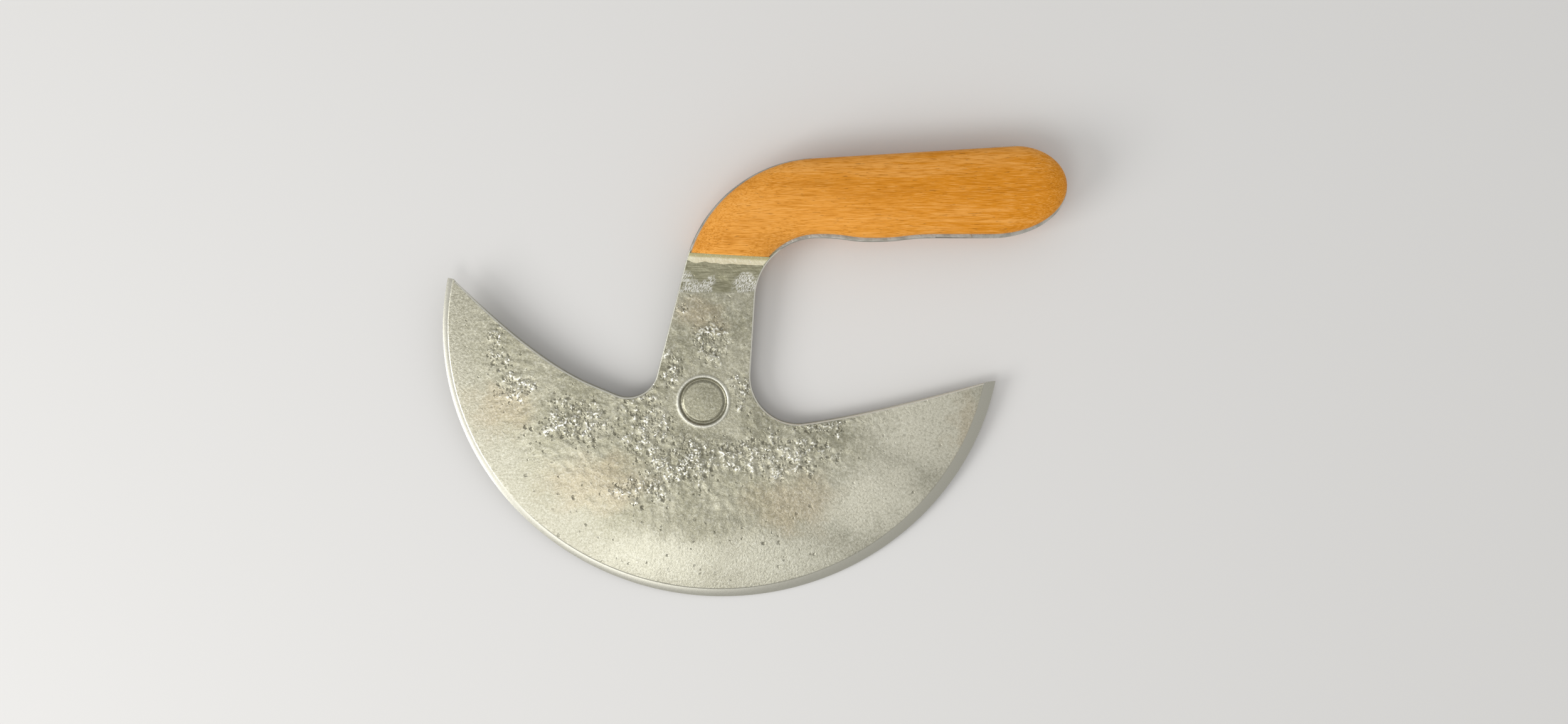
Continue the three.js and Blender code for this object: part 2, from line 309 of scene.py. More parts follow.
# Spokes that would end close to the start of one of those lines end in it.
splits = left_corner[left_split], right_corner[right_split]
first_joined, last_joined = (spoke_angle(split) for split in splits)
for split in splits:
    min(bm.verts, key=lambda vert: (vert.co.xy - split).length).co.xy = split
    beside = [vert for vert in bm.verts if (vert.co.xy - split).length < 2 * ARRIS and on_join(vert)]
    bmesh.ops.pointmerge(bm, verts=beside, merge_co=(*split, FORGED_THICKNESS / 2))

# The neck and the tang are one flat face that joins the crescent along the lines.
joined = {
    vert for edge in bm.edges if edge.is_boundary for vert in edge.verts
    if edge_share(vert.co) < 0.9 and on_join(vert)
}
neck_and_tang = [*left_corner[left_split + 1:], *handle_curve(), *right_corner[:right_split]]
rim = [bm.verts.new((*point, FORGED_THICKNESS / 2)) for point in reversed(neck_and_tang)]
bm.faces.new(rim + sorted(joined, key=lambda vert: spoke_angle(vert.co)))

# The other face is the same, and a wall closes the outline between the two.
bmesh.ops.dissolve_degenerate(bm, dist=0.01, edges=bm.edges)
back_face = bmesh.ops.extrude_face_region(bm, geom=bm.faces[:])["geom"]
for part in back_face:
    if isinstance(part, bmesh.types.BMVert):
        part.co.z = -part.co.z
bmesh.ops.recalc_face_normals(bm, faces=bm.faces)


def on_left_horn(part):
    verts = [part] if isinstance(part, bmesh.types.BMVert) else part.verts
    return min(vert.co.x for vert in verts) < -EDGE_HALF_WIDTH / 2


# Both faces are ground down above the finish line.
for height in (finish_line, finish_line + GROUND_STEP):
    handle_side = [part for part in (*bm.verts, *bm.edges, *bm.faces) if not on_left_horn(part)]
    bmesh.ops.bisect_plane(
        bm, geom=handle_side, dist=0.05, plane_co=(0, height, 0), plane_no=(0, 1, 0))
for vert in bm.verts:
    if vert.co.y > finish_line + GROUND_STEP / 2 and not on_left_horn(vert):
        vert.co.z *= TANG_THICKNESS / FORGED_THICKNESS
bm.normal_update()

# A file has rounded the arris along the outline, but not where the steel is thin, near the cutting edge.
outline_arris = [
    edge for edge in bm.edges
    if edge.calc_face_angle(0) > ARRIS_FOLD
    and max(edge_share(vert.co) for vert in edge.verts) * EDGE_HALF_DEPTH < bevel_start + 0.01
    and abs(sum(face.normal.z for face in edge.link_faces)) > 0.5
]
filed = set(bmesh.ops.bevel(
    bm, geom=outline_arris, offset=ARRIS, offset_type="OFFSET", segments=ARRIS_STEPS, profile=0.5,
    affect="EDGES", clamp_overlap=False, material=-1)["faces"])
bm.normal_update()

# A plain round punch was struck into the front face below the neck. It left a groove round a low dome, and
# raised a burr outside the groove.
STAMP_PLACE = Vector((-6.1, -21.8, 0))
STAMP_RADIUS = 6.9
STAMP_GROOVE_HALF = 0.9
STAMP_GROOVE_DEPTH = 0.6
STAMP_BURR_RADIUS = 8.0
STAMP_BURR_HALF = 0.8
STAMP_BURR_HEIGHT = 0.14
STAMP_SINK = 0.16
STAMP_DOME = 0.12
STAMP_REACH = 9.0
STAMP_ROOM = 9.6
STAMP_ROWS = 45
STAMP_STEPS = 96


def cut_along(bm, faces, place, direction):
    """Cuts faces along the line that runs through a place, square to a direction. Returns the cut faces."""
    edges = {edge for face in faces for edge in face.edges}
    verts = {vert for face in faces for vert in face.verts}
    cut = bmesh.ops.bisect_plane(
        bm, geom=[*faces, *edges, *verts], dist=MERGE, plane_co=place, plane_no=direction)
    return [part for part in cut["geom"] if isinstance(part, bmesh.types.BMFace)]


def score(bm, faces, cell):
    """Cuts flat faces along a grid of lines, so that they shade evenly. Returns the cut faces."""
    corners = [vert.co.copy() for face in faces for vert in face.verts]
    for axis, direction in enumerate((Vector((1, 0, 0)), Vector((0, 1, 0)))):
        low, high = min(co[axis] for co in corners), max(co[axis] for co in corners)
        for k in range(1, math.ceil((high - low) / cell)):
            faces = cut_along(bm, faces, direction * (low + cell * k), direction)
    return faces


def off_stamp(face):
    """How far a face's middle is from the punch mark's, along the drawing's wider axis."""
    return max(abs(offset) for offset in (face.calc_center_median() - STAMP_PLACE).xy)


def hump(offset, half_width):
    """1 in the middle of a smooth hump, and 0 from half its width on."""
    return (1 + math.cos(math.pi * min(abs(offset) / half_width, 1))) / 2


def punched(radius):
    """How far the punch has moved the face at a distance from its middle."""
    inside = hump(max(radius - STAMP_RADIUS + STAMP_GROOVE_HALF, 0), STAMP_GROOVE_HALF)
    return (STAMP_DOME * hump(radius, STAMP_RADIUS) - STAMP_SINK * inside
            - STAMP_GROOVE_DEPTH * hump(radius - STAMP_RADIUS, STAMP_GROOVE_HALF)
            + STAMP_BURR_HEIGHT * hump(radius - STAMP_BURR_RADIUS, STAMP_BURR_HALF))


flats = [face for face in bm.faces if face.calc_area() > FLAT_AREA]
score(bm, [face for face in flats if face.calc_center_median().y > finish_line], TANG_CELL)
cells = score(bm, [face for face in flats if face.calc_center_median().y < finish_line], SKIN_CELL)
struck = [
    face for face in cells if face.normal.z > 0.9 and off_stamp(face) < STAMP_ROOM + SKIN_CELL]
for direction in (Vector((1, 0, 0)), Vector((0, 1, 0))):
    for side in (-1, 1):
        struck = cut_along(bm, struck, STAMP_PLACE + direction * side * STAMP_ROOM, direction)
struck = [face for face in struck if off_stamp(face) < STAMP_ROOM]
bmesh.ops.delete(bm, geom=struck, context="FACES")
radii = [STAMP_REACH * k / STAMP_ROWS for k in range(STAMP_ROWS + 1)]
stamp = [bm.verts.new(STAMP_PLACE + Vector((r, 0, FORGED_THICKNESS / 2 + punched(r)))) for r in radii]
stamp_edges = [bm.edges.new(pair) for pair in zip(stamp, stamp[1:])]
bmesh.ops.spin(
    bm, geom=stamp + stamp_edges, cent=STAMP_PLACE, axis=(0, 0, 1), angle=full_turn, steps=STAMP_STEPS,
    use_merge=True)
middle = [vert for vert in bm.verts if vert.co.z > 0 and (vert.co - STAMP_PLACE).xy.length < 0.01]
bmesh.ops.remove_doubles(bm, verts=middle, dist=0.01)
bmesh.ops.triangle_fill(bm, edges=[edge for edge in bm.edges if edge.is_boundary], use_beauty=True)
bmesh.ops.recalc_face_normals(bm, faces=bm.faces)

# The hammer has left low lumps on the forged skin, and hammered-in scale has left clusters of crumbs.
# Each cluster is an oval on the drawing: its middle, half its width and half its height.
LUMP_SIZE = 2.2
LUMP_HEIGHT = 0.09
CRUMB_SIZE = 1.6
CRUMB_HEIGHT = 0.2
CRUMB_RISE = -0.1, 0.18
CLUSTER_WANDER = 6
CLUSTER_WANDER_SCALE = 0.15
SPOT_BORDER = 1.2, 0.3
SKIN_SLANT = -0.15
SKIN_FADE = 11, 30
EDGE_FADE = 4, 9
FINISH_FADE = 1.5
STAMP_FADE = STAMP_REACH + 0.2, STAMP_REACH + 2.5
FACE_APART = 20
PITTED = (
    (-71, -3, 5, 6), (-66, -16, 7, 9), (-46, -28, 13, 9), (-25, -28, 11, 11), (-13, -41, 16, 9),
    (9, -39, 14, 8), (-24, -50, 12, 5), (-16, -11, 5, 6), (-3, -2, 8, 8), (5, -19, 5, 7),
    (23, -40, 14, 7), (31, -29, 14, 3), (-12, 8, 4, 3),
)


def soft_step(value, low, high):
    """0 where a value is at low, 1 where it is at high, with soft ends."""
    share = min(max((value - low) / (high - low), 0), 1)
    return share * share * (3 - 2 * share)


def cluster_at(place):
    """1 in the middle of a pitted place, and 0 outside, with a ragged border."""
    waver = place * CLUSTER_WANDER_SCALE
    wander = Vector((noise.noise(waver), noise.noise(waver + Vector((0, 0, 9))), 0)) * CLUSTER_WANDER
    inside = 0
    for x, y, half_width, half_height in PITTED:
        offset = (place + wander).xy - Vector((x, y))
        distance = Vector((offset.x / half_width, offset.y / half_height)).length
        inside = max(inside, soft_step(distance, *SPOT_BORDER))
    return inside


def skin_at(place):
    """1 on the forged skin, and 0 on the ground zones, the stamp and the edge."""
    from_edge = (1 - edge_share(place)) * EDGE_HALF_DEPTH
    skin = soft_step(from_edge + SKIN_SLANT * place.x, *SKIN_FADE) * soft_step(from_edge, *EDGE_FADE)
    if place.x > -EDGE_HALF_WIDTH / 2:
        skin *= soft_step(place.y, finish_line, finish_line - FINISH_FADE)
    if place.z > 0:
        skin *= soft_step((place - STAMP_PLACE).xy.length, *STAMP_FADE)
    return skin


pitted = bm.verts.layers.float.new("pitted")
crumb_tops = bm.verts.layers.float.new("raised")
for vert in bm.verts:
    if filed.isdisjoint(vert.link_faces):
        side = math.copysign(1, vert.co.z)
        skin = skin_at(vert.co)
        place = Vector((*vert.co.xy, FACE_APART * side))
        vert[pitted] = cluster_at(place) * skin
        vert[crumb_tops] = soft_step(noise.noise(place / CRUMB_SIZE), *CRUMB_RISE) * vert[pitted]
        vert.co.z += side * LUMP_HEIGHT * skin * noise.noise(place / LUMP_SIZE)
        vert.co.z += side * CRUMB_HEIGHT * (vert[crumb_tops] - vert[pitted] / 2)
bm.normal_update()

# Handling has burnished the filed arris, and its pale colour is also a painted highlight along the rounded
# edge. Its borders shade as folds.
worn_and_lit_arris = bm.verts.layers.float.new("worn_and_lit_arris")
for vert in bm.verts:
    vert[worn_and_lit_arris] = filed.issuperset(vert.link_faces)
for edge in bm.edges:
    beside_file = len(filed.intersection(edge.link_faces)) == 1
    edge.smooth = not (beside_file or edge.calc_face_angle(0) > SHARP_FOLD)

# The record's mount on the blade's front gives the lean, and the middle pin gives the place.
pin_row = underside + PIN_HEIGHT
pin_front = neck_right(pin_row).x - PIN_FRONT_SETBACK
pin_rear = butt_end - PIN_REAR_SETBACK
drawn_pin = Vector(((pin_front + pin_rear) / 2, pin_row, 0))
pin_low, pin_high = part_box("hidden_pin_middle")
blade_front = next(m for m in frame["record"]["mounts"] if m["name"] == "blade_face_front")
lean = Vector((0, 0, 1)).rotation_difference(Vector(blade_front["axis"]))
laid = (Matrix.Translation((pin_low + pin_high) / 2) @ lean.to_matrix().to_4x4()
        @ Matrix.Scale(MM, 4) @ Matrix.Translation(-drawn_pin))


def add_node(tree, kind, inputs=None, **options):
    """A node with these options. An input is a value to set or an output to link."""
    added = tree.nodes.new(kind)
    for name, value in options.items():
        setattr(added, name, value)
    for name, value in (inputs or {}).items():
        if isinstance(value, bpy.types.NodeSocket):
            tree.links.new(value, added.inputs[name])
        else:
            added.inputs[name].default_value = value
    return added


def calc(tree, operation, *values):
    return add_node(tree, "ShaderNodeMath", dict(enumerate(values)), operation=operation).outputs[0]


def ease(tree, value, low, high):
    """0 where a value is at low, 1 where it is at high, with soft ends."""
    inputs = {"Value": value, "From Min": low, "From Max": high}
    return add_node(tree, "ShaderNodeMapRange", inputs, interpolation_type="SMOOTHSTEP").outputs[0]


def blend(tree, share, start, end):
    """One colour turning into another."""
    inputs = {0: share, 6: start, 7: end}
    return add_node(tree, "ShaderNodeMix", inputs, data_type="RGBA").outputs[2]


def join(tree, operation, *vectors):
    """A sum or product of vectors, or the one number that some operations give."""
    joined = add_node(tree, "ShaderNodeVectorMath", dict(enumerate(vectors)), operation=operation)
    return joined.outputs["Value" if operation in ("LENGTH", "DISTANCE", "DOT_PRODUCT") else "Vector"]


def stretch(tree, vector, factors):
    return join(tree, "MULTIPLY", vector, factors)


def cloudy(tree, vector, scale, detail=2.0, roughness=0.5):
    inputs = {"Vector": vector, "Scale": scale, "Detail": detail, "Roughness": roughness}
    return add_node(tree, "ShaderNodeTexNoise", inputs).outputs[0]


def new_material(name):
    """An empty material, its shader, and the knife's own flat millimetres as coordinates."""
    material = bpy.data.materials.new(name)
    material.use_nodes = True
    tree = material.node_tree
    coordinates = add_node(tree, "ShaderNodeTexCoord").outputs["Object"]
    flat = add_node(tree, "ShaderNodeMapping", {
        "Vector": coordinates,
        "Location": laid.to_translation(),
        "Rotation": laid.to_euler(),
        "Scale": (MM, MM, MM),
    }, vector_type="TEXTURE").outputs[0]
    return material, tree, tree.nodes["Principled BSDF"], flat


def set_bump(tree, shader, height, strength=1.0):
    """Relief from a height in millimetres."""
    inputs = {"Height": height, "Distance": MM, "Strength": strength}
    bump = add_node(tree, "ShaderNodeBump", inputs)
    tree.links.new(bump.outputs[0], shader.inputs["Normal"])


def spot(tree, flat, x, y, half_width, half_height):
    """1 inside an oval on the drawing, and 0 outside it, with a soft border."""
    centred = join(tree, "SUBTRACT", flat, (x, y, 0))
    round_one = stretch(tree, centred, (1 / half_width, 1 / half_height, 0))
    return ease(tree, join(tree, "LENGTH", round_one), *SPOT_BORDER)


def spots(tree, flat, ovals):
    """1 inside any of some ovals."""
    inside = spot(tree, flat, *ovals[0])
    for oval in ovals[1:]:
        inside = calc(tree, "MAXIMUM", inside, spot(tree, flat, *oval))
    return inside


def tint(tree, tone, layers):
    """Lays colours over a tone, one after another. Each has a place and a share of the cover."""
    for place, share, colour in layers:
        tone = blend(tree, calc(tree, "MULTIPLY", place, share), tone, colour)
    return tone


def add_relief(tree, relief, layers):
    """Adds patterns to a relief. Each has a place and a height in millimetres."""
    for pattern, place, height in layers:
        relief = calc(tree, "MULTIPLY_ADD", pattern, calc(tree, "MULTIPLY", place, height), relief)
    return relief


# The rubbed and bared patches lighten the steel along the bottom and on the right horn, and the dulled ones
# darken it below the neck: partly wear, partly painted highlight and painted shade.
BROWNED = ((-70, -24, 12, 11), (-40, -48, 20, 11), (22, -54, 16, 11), (77, -31, 6, 16), (-6, 6, 9, 7))
RUBBED_AND_LIT = ((-20, -72, 26, 9), (22, -74, 26, 9), (46, -54, 20, 14), (66, -28, 22, 16))
BARED_AND_LIT = ((50, -52, 18, 13), (66, -29, 26, 18))
DULLED_AND_SHADED = ((-6, -36, 14, 8), (-6, -60, 26, 7), (14, -24, 8, 12), (33, -31, 13, 6))
SPECKLED = ((-9, 14.8, 6.5, 4.2), (7.5, 15.6, 7, 5.2))
DENTED = ((-0.4, 16, 2.6, 1.9),)
FORGED_GREY = (0.330, 0.316, 0.228, 1)
FORGED_PALE = (0.430, 0.412, 0.312, 1)
FORGED_BROWN = (0.440, 0.350, 0.220, 1)
PIT_DARK = (0.15, 0.14, 0.10, 1)
BURNISHED_AND_GLINT_PALE = (0.92, 0.91, 0.82, 1)
GROUND_PALE = (0.420, 0.404, 0.318, 1)
RUBBED_LIT_PALE = (0.560, 0.545, 0.440, 1)
BARED_LIT_PALE = (0.720, 0.690, 0.560, 1)
DULL_SHADED_GREY = (0.260, 0.248, 0.180, 1)
BEVEL_PALE = (0.480, 0.468, 0.400, 1)
NECK_GREY = (0.250, 0.238, 0.155, 1)
NECK_PALE = (0.400, 0.385, 0.270, 1)
SPECKLE_GLINT_PALE = (0.80, 0.79, 0.72, 1)
TANG_GREY = (0.40, 0.39, 0.34, 1)
TANG_PALE = (0.56, 0.55, 0.50, 1)
WANDER = 16
RAGGED = 22
PIT_DEPTH = 0.13
DENT_DEPTH = 0.12

steel, tree, shader, flat = new_material("forged_steel_hammer_marked")
share = join(tree, "LENGTH", stretch(tree, flat, (1 / EDGE_HALF_WIDTH, 1 / EDGE_HALF_DEPTH, 0)))
from_edge = calc(tree, "MULTIPLY", calc(tree, "SUBTRACT", 1.0, share), EDGE_HALF_DEPTH)
across, along_neck, through = add_node(tree, "ShaderNodeSeparateXYZ", {0: flat}).outputs
off_bevel = calc(tree, "SUBTRACT", from_edge, calc(
    tree, "MULTIPLY_ADD", across, BEVEL_WIDENING / EDGE_HALF_WIDTH, BEVEL_WIDTH))
polished = ease(tree, off_bevel, 0.25, -0.15)
unpolished = calc(tree, "SUBTRACT", 1.0, polished)
on_tang = ease(tree, along_neck, wood_front + 0.5, wood_front + 2)

# The hammered skin ends in a ragged border, further out on the left horn than on the right one.
wander = add_node(tree, "ShaderNodeTexNoise", {"Vector": flat, "Scale": 0.14, "Detail": 3.0})
wander = join(tree, "SUBTRACT", wander.outputs["Color"], (0.5, 0.5, 0.5))
wandering = join(tree, "ADD", stretch(tree, wander, (WANDER, WANDER, 0)), flat)
ragged = calc(tree, "MULTIPLY_ADD", cloudy(tree, flat, 0.09, 3), RAGGED, -RAGGED / 2)
field = calc(tree, "ADD", calc(tree, "MULTIPLY_ADD", across, SKIN_SLANT, from_edge), ragged)
hammered = calc(tree, "MULTIPLY", ease(tree, field, *SKIN_FADE), unpolished)

# Scale that was hammered in has left pits, in clusters.
crumble = add_node(tree, "ShaderNodeTexNoise", {"Vector": flat, "Scale": 1.1, "Detail": 2.0})
crumbled = join(tree, "ADD", crumble.outputs["Color"], flat)
clusters = add_node(tree, "ShaderNodeAttribute", attribute_name="pitted").outputs["Fac"]
pit_density = calc(tree, "MULTIPLY_ADD", clusters, 0.62, 0.015)


def pits_of(scale, rarity):
    """Bowls about one per square of 1 / scale, where the lot of a cell falls below the density."""
    cells = add_node(tree, "ShaderNodeTexVoronoi", {"Vector": crumbled, "Scale": scale})
    lot = add_node(tree, "ShaderNodeSeparateColor", {0: cells.outputs["Color"]}).outputs[0]
    over_density = calc(tree, "SUBTRACT", calc(tree, "MULTIPLY", lot, rarity), pit_density)
    taken = ease(tree, over_density, 0.02, -0.02)
    return calc(tree, "MULTIPLY", ease(tree, cells.outputs["Distance"], 0.56, 0.12), taken)


pits = calc(tree, "MAXIMUM", pits_of(1.05, 1.0), calc(tree, "MULTIPLY", pits_of(0.6, 1.9), 1.4))

# The punch flattened the pits inside its mark, and its groove is darker. Its burr is painted pale: partly
# rubbed bright, partly a painted highlight.
from_stamp = join(tree, "DISTANCE", stretch(tree, flat, (1, 1, 0)), STAMP_PLACE)
on_front = ease(tree, through, -0.5, 0.5)
stamped = ease(tree, from_stamp, STAMP_BURR_RADIUS + 0.4, STAMP_BURR_RADIUS - 0.4)
stamped = calc(tree, "MULTIPLY", on_front, stamped)


def ring(radius, half_width):
    """1 along a circle round the punch mark's middle, on the front face, and 0 beside it."""
    beside = calc(tree, "ABSOLUTE", calc(tree, "SUBTRACT", from_stamp, radius))
    return calc(tree, "MULTIPLY", on_front, ease(tree, beside, half_width, 0.0))


stamp_groove_dark = ring(STAMP_RADIUS, STAMP_GROOVE_HALF)
stamp_burr = ring(STAMP_BURR_RADIUS, STAMP_BURR_HALF)
unstamped = calc(tree, "SUBTRACT", 1.0, stamped)
pits = calc(tree, "MULTIPLY", pits, calc(tree, "MULTIPLY", unstamped, unpolished))
pits = calc(tree, "MULTIPLY", pits, calc(tree, "SUBTRACT", 1.0, on_tang))

# The neck is ground across, and the grinding skipped over low places. These are painted pale: painted glints
# on their rough steel.
on_neck = calc(tree, "MULTIPLY", ease(tree, along_neck, finish_line - 0.3, finish_line + 0.6),
               ease(tree, across, -EDGE_HALF_WIDTH / 2, -EDGE_HALF_WIDTH / 2 + 1))
neck_lines = cloudy(tree, stretch(tree, flat, (0.3, 3.2, 1)), 1.0, 3, 0.6)
leaning = add_node(tree, "ShaderNodeCombineXYZ", {
    "X": calc(tree, "MULTIPLY_ADD", along_neck, -0.5, across),
    "Y": calc(tree, "MULTIPLY", along_neck, 0.35),
}).outputs[0]
strokes = ease(tree, cloudy(tree, leaning, 3.4, 2), 0.42, 0.56)
speckles = calc(tree, "MULTIPLY", ease(tree, spots(tree, wandering, SPECKLED), 0.2, 0.9), strokes)
speckles = calc(tree, "MULTIPLY", speckles, on_neck)
dents = spots(tree, flat, DENTED)

# Grinding lines run from the flat out to the edge.
turn = calc(tree, "ARCTAN2", across, calc(tree, "MULTIPLY", along_neck, -1.0))
grind_way = add_node(tree, "ShaderNodeCombineXYZ", {
    "X": calc(tree, "MULTIPLY", turn, EDGE_HALF_DEPTH),
    "Y": calc(tree, "MULTIPLY", from_edge, 0.15),
}).outputs[0]
grind_lines = cloudy(tree, grind_way, 2.4, 3, 0.6)
grain = cloudy(tree, flat, 1.3, 3, 0.55)
fine_grain = cloudy(tree, flat, 2.8, 2)
lumps = cloudy(tree, flat, 0.45, 3, 0.55)
crumbs = cloudy(tree, flat, 1.35, 2)
in_clusters = calc(tree, "MULTIPLY", clusters, unstamped)
ground = calc(tree, "SUBTRACT", unpolished, hammered)
set_bump(tree, shader, add_relief(tree, calc(tree, "MULTIPLY", pits, -PIT_DEPTH), (
    (crumbs, in_clusters, 0.08),
    (grain, unpolished, 0.065),
    (lumps, hammered, 0.04),
    (lumps, unpolished, 0.02),
    (grind_lines, ground, 0.012),
    (fine_grain, ground, 0.030),
    (neck_lines, on_neck, 0.02),
    (dents, on_front, -DENT_DEPTH),
)))

# The raised crumb tops are painted pale: partly burnished high points, partly painted glints.
tops = add_node(tree, "ShaderNodeAttribute", attribute_name="raised").outputs["Fac"]
burnished_tops_and_glints = calc(tree, "MULTIPLY", ease(tree, crumbs, 0.50, 0.62), ease(tree, tops, 0.2, 0.7))
neck_tone = blend(tree, ease(tree, neck_lines, 0.36, 0.64), NECK_GREY, NECK_PALE)
# The filed arris is painted pale: partly burnished by handling, partly a painted highlight.
arris_wear_and_sheen = add_node(tree, "ShaderNodeAttribute", attribute_name="worn_and_lit_arris").outputs["Fac"]
file_marks = cloudy(tree, stretch(tree, flat, (0.25, 0.25, 4.0)), 1.0, 3, 0.6)
tang_tone = blend(tree, ease(tree, file_marks, 0.35, 0.65), TANG_GREY, TANG_PALE)
forged_tone = blend(tree, ease(tree, cloudy(tree, flat, 0.06, 4), 0.35, 0.65), FORGED_GREY, FORGED_PALE)
tone = tint(tree, blend(tree, hammered, GROUND_PALE, forged_tone), (
    (spots(tree, wandering, RUBBED_AND_LIT), 0.7, RUBBED_LIT_PALE),
    (spots(tree, wandering, BARED_AND_LIT), 0.6, BARED_LIT_PALE),
    (spots(tree, wandering, DULLED_AND_SHADED), 0.6, DULL_SHADED_GREY),
    (spots(tree, wandering, BROWNED), 0.4, FORGED_BROWN),
    (ease(tree, grain, 0.50, 0.32), 0.28, PIT_DARK),
    (ease(tree, grain, 0.50, 0.68), 0.18, BURNISHED_AND_GLINT_PALE),
    (ease(tree, fine_grain, 0.50, 0.34), 0.16, PIT_DARK),
    (ease(tree, fine_grain, 0.50, 0.66), 0.12, BURNISHED_AND_GLINT_PALE),
    (pits, 0.6, PIT_DARK),
    (burnished_tops_and_glints, 0.8, BURNISHED_AND_GLINT_PALE),
    (stamp_groove_dark, 0.3, PIT_DARK),
    (stamp_burr, 0.5, BURNISHED_AND_GLINT_PALE),
    (polished, 1.0, BEVEL_PALE),
    (on_neck, 1.0, neck_tone),
    (speckles, 1.0, SPECKLE_GLINT_PALE),
    (arris_wear_and_sheen, 0.9, BURNISHED_AND_GLINT_PALE),
    (on_tang, 1.0, tang_tone),
))
tree.links.new(tone, shader.inputs["Base Color"])
satin = calc(tree, "MULTIPLY_ADD", grain, 0.12, 0.30)
satin = calc(tree, "MULTIPLY_ADD", burnished_tops_and_glints, -0.10, satin)
tree.links.new(calc(tree, "MULTIPLY_ADD", polished, -0.08, satin), shader.inputs["Roughness"])
shader.inputs["Metallic"].default_value = 1.0


def put_in_scene(bm, name, material, node):
    """Lays a drawn piece down in the knife's place, where it stands for its CAD node."""
    bmesh.ops.transform(bm, matrix=laid, verts=bm.verts)
    bmesh.ops.recalc_face_normals(bm, faces=bm.faces)
    for face in bm.faces:
        face.smooth = True
    mesh = bpy.data.meshes.new(name)
    bm.to_mesh(mesh)
    bm.free()
    mesh.materials.append(material)
    piece = bpy.data.objects.new(name, mesh)
    bpy.context.scene.collection.objects.link(piece)
    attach(piece, "root")
    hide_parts(node)


put_in_scene(bm, "blade_neck_and_tang", steel, "forged_blade")


# Scales. Two halves of oiled fruitwood lie on the tang's faces, sawn to its outline, rasped round along
# their sides and cut off square at the neck. Resin and blind pins hold them, and no rivet shows.
SCALE_THICKNESS = 7.5
SCALE_ROUND = 5
SCALE_ROUND_WIDTH = 7.5
SCALE_HALF_DEPTH = 13.6
SCALE_INSET = 0.8
SCALE_OFFSET = Vector((0.3, 0.58))
SCALE_FRONT_SKEW = math.radians(3.2)
SCALE_ARRIS = 0.7
SCALE_ARRIS_STEPS = 3
CROWN_CELL = 2.5
CROWN_PASSES = 80
ROUND_STEPS = 12
BOND_GAP = 0.6

wood_face = TANG_THICKNESS / 2 + BOND_GAP
cut_direction = Matrix.Rotation(-SCALE_FRONT_SKEW, 3, "Z") @ Vector((0, 1, 0))
cut_place = ((neck_left(wood_front) + neck_right(wood_front)) / 2).to_3d()


def handle_plate(bm, height, inset):
    """The handle's outline as one face, drawn in by an inset, on a stub of neck that is cut off later."""
    stub = underside - GRIP_RADIUS - 2 * (SCALE_ROUND_WIDTH + SCALE_INSET)
    outline = (neck_right(stub), *reversed(handle_curve()), neck_left(stub))
    face = bm.faces.new([bm.verts.new((*(point + SCALE_OFFSET), height)) for point in outline])
    bmesh.ops.remove_doubles(bm, verts=face.verts, dist=MERGE)
    face = bm.faces[:][0]
    spare = bmesh.ops.inset_region(
        bm, faces=[face], thickness=inset, use_even_offset=True, use_boundary=True)
    bmesh.ops.delete(bm, geom=spare["faces"], context="FACES")
    return face


def crease(bm):
    """Keeps the sharp folds of a piece sharp where the rest of it shades smoothly."""
    for edge in bm.edges:
        edge.smooth = edge.calc_face_angle(0) < SHARP_FOLD


def cut_off_at_neck(bm):
    """Saws the stub off along the front end's skewed line, and closes the cut."""
    bmesh.ops.bisect_plane(
        bm, geom=bm.verts[:] + bm.edges[:] + bm.faces[:], dist=MERGE,
        plane_co=cut_place, plane_no=cut_direction, clear_inner=True)
    return bmesh.ops.holes_fill(bm, edges=[edge for edge in bm.edges if edge.is_boundary], sides=0)["faces"]


def thicken(bm, face, offset):
    """Draws a face out into a closed block. Returns the moved face."""
    moved = bmesh.ops.extrude_face_region(bm, geom=[face])["geom"]
    bmesh.ops.translate(
        bm, vec=offset, verts=[part for part in moved if isinstance(part, bmesh.types.BMVert)])
    return next(part for part in moved if isinstance(part, bmesh.types.BMFace))


def arch(inset):
    """How high the rounded side is, at a distance in from the outline."""
    return SCALE_ROUND * math.sqrt(1 - (1 - inset / SCALE_HALF_DEPTH) ** 2)


def draw_scale():
    bm = bmesh.new()
    top = handle_plate(bm, wood_face, SCALE_INSET)
    top = thicken(bm, top, (0, 0, SCALE_THICKNESS - SCALE_ROUND))
    for k in range(ROUND_STEPS):
        low, high = (SCALE_ROUND_WIDTH * (step / ROUND_STEPS) ** 2 for step in (k, k + 1))
        bmesh.ops.inset_region(
            bm, faces=[top], thickness=high - low, depth=arch(high) - arch(low),
            use_even_offset=True, use_boundary=True)
    front_end = cut_off_at_neck(bm)

    # The rasped top swells on towards its middle.
    crown = SCALE_ROUND - arch(SCALE_ROUND_WIDTH)
    flat_height = wood_face + SCALE_THICKNESS - crown
    top = [face for face in bm.faces if face.calc_center_median().z > flat_height - 0.01]
    top = set(score(bm, top, CROWN_CELL))
    inner = [vert for vert in bm.verts if top.issuperset(vert.link_faces)]
    for _ in range(CROWN_PASSES):
        bmesh.ops.translate(bm, vec=(0, 0, crown / CROWN_PASSES), verts=inner)
        bmesh.ops.smooth_vert(bm, verts=inner, factor=0.5, use_axis_z=True)
    highest = max(vert.co.z for vert in inner) - flat_height
    for vert in inner:
        vert.co.z = flat_height + (vert.co.z - flat_height) * crown / highest

    # Sandpaper has taken the arris off the front end.
    arris = [edge for edge in front_end[0].edges if max(vert.co.z for vert in edge.verts) > wood_face + 0.1]
    bmesh.ops.bevel(
        bm, geom=arris, offset=SCALE_ARRIS, offset_type="OFFSET", segments=SCALE_ARRIS_STEPS, profile=0.5,
        affect="EDGES", clamp_overlap=True, material=-1)
    crease(bm)
    return bm


WOOD_PALE = (0.98, 0.490, 0.130, 1)
WOOD_TAN = (0.90, 0.345, 0.022, 1)
WOOD_DEEP = (0.56, 0.190, 0.006, 1)
PORE_BROWN = (0.22, 0.065, 0.004, 1)

